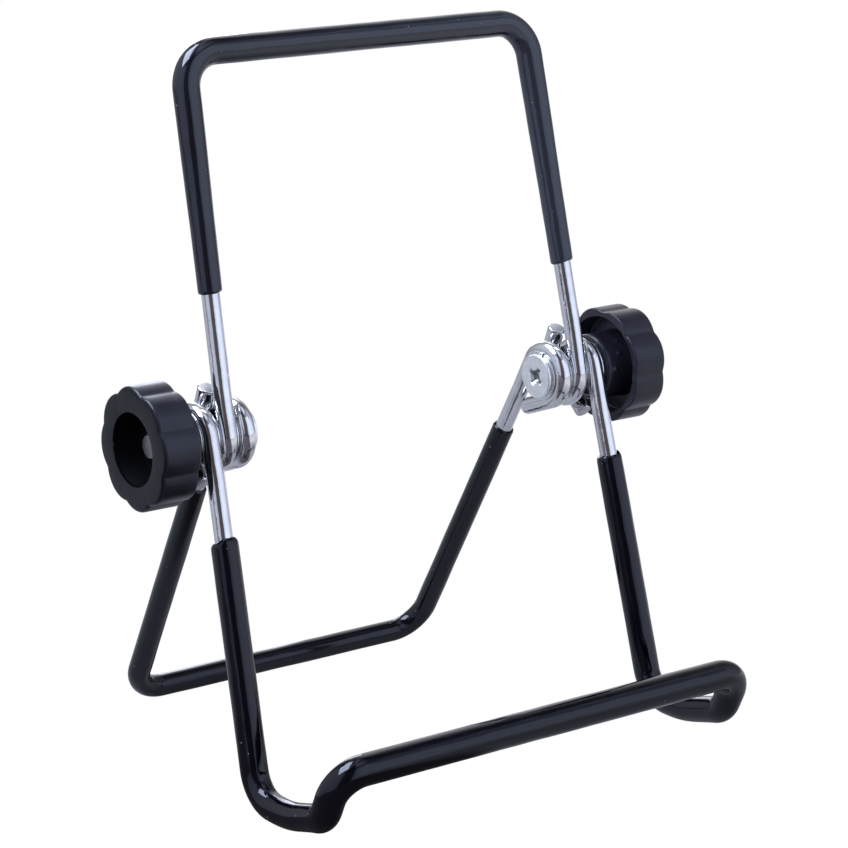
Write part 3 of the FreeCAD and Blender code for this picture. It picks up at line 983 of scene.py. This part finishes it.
def link_new(name, data):
    obj = bpy.data.objects.new(name, data)
    bpy.context.scene.collection.objects.link(obj)
    return obj


def outward(azimuth, elevation):
    """Unit vector from the stand towards a place round it."""
    a, e = math.radians(azimuth), math.radians(elevation)
    return Vector((math.sin(a) * math.cos(e), -math.cos(a) * math.cos(e), math.sin(e)))


def floor():
    """Plain pale sheet. It is nearly clear to the camera, so that a leg folded below it shows."""
    h = FLOOR_HALF
    mesh = bpy.data.meshes.new("floor")
    mesh.from_pydata([(-h, -h, 0), (h, -h, 0), (h, h, 0), (-h, h, 0)], [], [(0, 1, 2, 3)])
    obj = link_new("floor", mesh)
    n = new_nodes("pale_floor")
    paper = n.mix(n.noise(n.place(), 0.004, 2.0), (0.40, 0.40, 0.40), (0.43, 0.43, 0.43))
    # painted shade and light: reflections see a sheet painted dark towards the camera, standing in
    # for shade there, and glowing pale at both sides and behind
    turned_coords, angle = n.bearing("Object")
    seen = n.camera_ray()
    right = n.span(angle, 0.40, 0.60)
    behind = n.span(angle, -2.35, -2.00, 1.0, 0.0)
    left = n.larger(behind, n.span(angle, -1.35, -1.05, 0.85, 0.0))
    pale = n.larger(left, right)
    mirrored = n.mix(pale, (0.06, 0.05, 0.05), (0.20, 0.20, 0.205))
    n.set("Base Color", n.mix(seen, mirrored, paper))
    n.set("Roughness", 0.8)
    n.set("Specular IOR Level", 0.1)
    n.set("Emission Color", (1.0, 1.0, 1.0))
    # painted light: the right side glows brighter further away from the stand
    far = n.times(right, n.span(n.length(turned_coords), 0.10, 0.24, 0.0, 0.48))
    dim = n.plus(n.times(pale, 0.12), far)
    n.set("Emission Strength", n.larger(dim, n.times(seen, 0.80)))
    clear = n.add("ShaderNodeBsdfTransparent")
    both = n.add("ShaderNodeMixShader")
    n.feed(both.inputs["Fac"], n.times(seen, FLOOR_CLEARNESS))
    n.feed(both.inputs[1], n.shader.outputs["BSDF"])
    n.feed(both.inputs[2], clear.outputs["BSDF"])
    n.feed(n.tree.nodes["Material Output"].inputs["Surface"], both.outputs["Shader"])
    mesh.materials.append(n.owner)


# colour of the walls by angle in degrees: 0 is the camera's side, negative is screen-left
WALLS = [
    (-180, (1.50, 1.50, 1.55)), (-166, (0.60, 0.60, 0.63)), (-145, (0.38, 0.38, 0.41)),
    (-118, (0.66, 0.69, 0.76)), (-90, (0.80, 0.86, 1.00)), (-50, (0.84, 0.91, 1.10)),
    (-26, (0.74, 0.81, 1.00)), (-18, (0.12, 0.10, 0.10)), (2, (0.10, 0.08, 0.08)),
    (19, (0.11, 0.09, 0.09)), (27, (0.86, 0.97, 1.20)), (50, (1.20, 1.31, 1.61)),
    (85, (1.10, 1.20, 1.47)), (112, (0.60, 0.63, 0.73)), (140, (0.24, 0.23, 0.23)),
    (160, (0.45, 0.44, 0.45)), (172, (1.20, 1.20, 1.24)), (180, (1.50, 1.50, 1.55))]
# dimming of the walls by height: -1 is straight down, 1 straight up
HEIGHTS = [
    (-1, (0.6, 0.6, 0.6)), (-0.02, (0.75, 0.75, 0.75)), (0.05, (0.80, 0.80, 0.80)),
    (0.5, (1.0, 1.0, 1.0)), (0.77, (1.0, 1.0, 1.0)), (0.795, (0.28, 0.28, 0.30)),
    (0.88, (0.32, 0.32, 0.34)), (0.93, (0.8, 0.8, 0.8)), (1, (1.0, 1.0, 1.0))]


def surroundings():
    """Studio that reflections see as broad pale walls with a dark gap on the camera's side.

    The camera itself sees plain white.
    """
    world = bpy.data.worlds.new("studio")
    bpy.context.scene.world = world
    n = Nodes(world, "Background")
    turned_coords, angle = n.bearing("Generated")
    walls = n.ramp(n.span(angle, -math.pi, math.pi), WALLS)
    # the bright wall's upper edge slopes down towards the right
    parts = n.split(turned_coords)
    sloped = n.math("MULTIPLY_ADD", parts["Z"], 0.55, n.times(parts["X"], 0.567))
    level = n.larger(parts["Z"], sloped)
    heights = n.ramp(n.span(level, -1.0, 1.0), HEIGHTS)
    studio = n.mix(1.0, walls, heights, "MULTIPLY")
    n.set("Color", n.mix(n.camera_ray(), studio, (1.0, 1.0, 1.0)))


def soft_light(name, azimuth, elevation, width, height, power, mirrored=True):
    """Area light aimed at the hinge; mirrored says whether reflections show it."""
    back = outward(azimuth, elevation)
    data = bpy.data.lights.new(name, "AREA")
    data.shape = "RECTANGLE"
    data.size = width
    data.size_y = height
    data.energy = power
    data.color = LIGHT_COLOUR
    obj = link_new(name, data)
    obj.location = HINGE + back * LIGHT_DISTANCE
    obj.rotation_mode = "QUATERNION"
    obj.rotation_quaternion = (-back).to_track_quat("-Z", "Y")
    obj.visible_camera = False
    obj.visible_glossy = mirrored


def camera():
    back = outward(AZIMUTH, ELEVATION)
    a = math.radians(AZIMUTH)
    right = Vector((math.cos(a), math.sin(a), 0))
    up = back.cross(right)
    data = bpy.data.cameras.new("camera")
    data.sensor_width = SENSOR_WIDTH
    data.lens = LENS
    data.clip_start = 0.01
    data.clip_end = 100
    obj = link_new("camera", data)
    obj.location = HINGE + (right * CAMERA_RIGHT - up * CAMERA_DOWN + back * CAMERA_AWAY) * MM
    obj.rotation_mode = "QUATERNION"
    obj.rotation_quaternion = Matrix((right, up, back)).transposed().to_quaternion()
    bpy.context.scene.camera = obj


floor()
surroundings()
# name, azimuth, elevation, width, height, power
soft_light("key", AZIMUTH - 95, 63, 0.95, 0.58, 22)
soft_light("back", AZIMUTH - 168, 16, 0.30, 0.60, 2.3)
soft_light("fill", AZIMUTH - 45, 25, 0.60, 0.60, 26, mirrored=False)
camera()
bpy.context.scene.view_settings.view_transform = "Standard"
